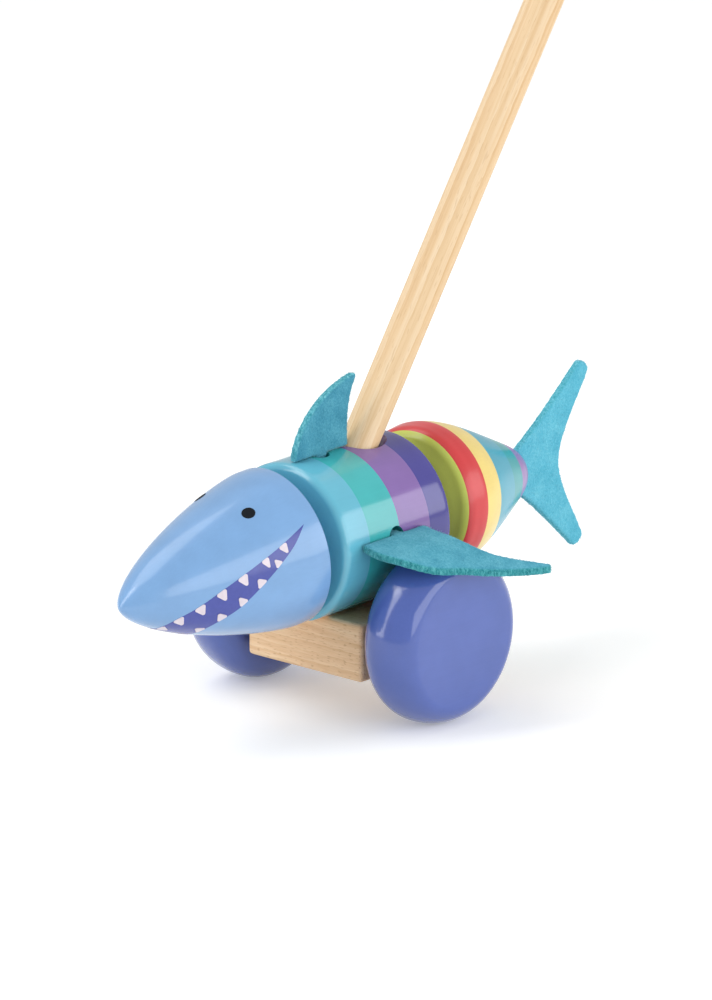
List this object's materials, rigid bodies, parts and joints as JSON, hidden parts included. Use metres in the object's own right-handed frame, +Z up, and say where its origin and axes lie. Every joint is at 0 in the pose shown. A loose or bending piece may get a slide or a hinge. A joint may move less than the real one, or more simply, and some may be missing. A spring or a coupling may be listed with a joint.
{
  "type": "toddler push toy",
  "caption": "Wooden shark push-along toy: banded turned body on wheels, head and tail that swing on pins, felt fins and a long push stick leaning back.",
  "frame": {"origin": "centre of the chassis block's flat underside, 12 mm above the floor the wheels stand on", "axes": "the nose points along -Y, the shark's left side along +X, up is +Z; the wheel axle runs along X above the origin"},
  "size_m": [0.1076, 0.3621, 0.4566],
  "materials": {
    "head_paint": "glossy light blue paint on turned wood, with a printed grin, teeth and two eyes",
    "drum_paint": "glossy paint on turned wood in four bands: light blue, teal, purple and blue-violet",
    "tail_paint": "satin paint on turned wood: green front face, then red, yellow, light blue, teal and purple bands",
    "wheel_paint": "glossy blue-violet paint on turned wood",
    "felt": "stiff teal wool felt with fibrous cut edges",
    "bare_beech": "bare sanded beech",
    "dowel": "bare pale hardwood dowel",
    "steel": "bright zinc plated steel",
    "nylon": "white nylon"
  },
  "bodies": {
    "chassis": {"chassis_block": "bare_beech", "body_drum": "drum_paint", "head_tongue": "bare_beech", "tail_tongue": "bare_beech", "dorsal_fin": "felt", "pectoral_fin_left": "felt", "pectoral_fin_right": "felt", "chassis_screw_front": "steel", "chassis_screw_rear": "steel", "push_stick": "dowel"},
    "wheelset": {"axle": "steel", "wheel_left": "wheel_paint", "wheel_right": "wheel_paint", "axle_washer_left": "nylon", "axle_washer_right": "nylon"},
    "head_body": {"head": "head_paint", "head_pivot_pin": "bare_beech"},
    "tail_body": {"tail": "tail_paint", "tail_pivot_pin": "bare_beech", "caudal_fin": "felt"}
  },
  "joints": [
    {"name": "wheel_spin", "type": "hinge", "parent": "chassis", "child": "wheelset", "pos_m": [0, 0, 0.0122], "axis": [1, 0, 0], "continuous": true},
    {"name": "head_swing", "type": "hinge", "parent": "chassis", "child": "head_body", "pos_m": [0, -0.036, 0.0364], "axis": [0, 0, 1], "range_deg": [-3, 15]},
    {"name": "tail_swing", "type": "hinge", "parent": "chassis", "child": "tail_body", "pos_m": [0, 0.029, 0.0364], "axis": [0, 0, 1], "range_deg": [-18.5, 11.5]}
  ]
}
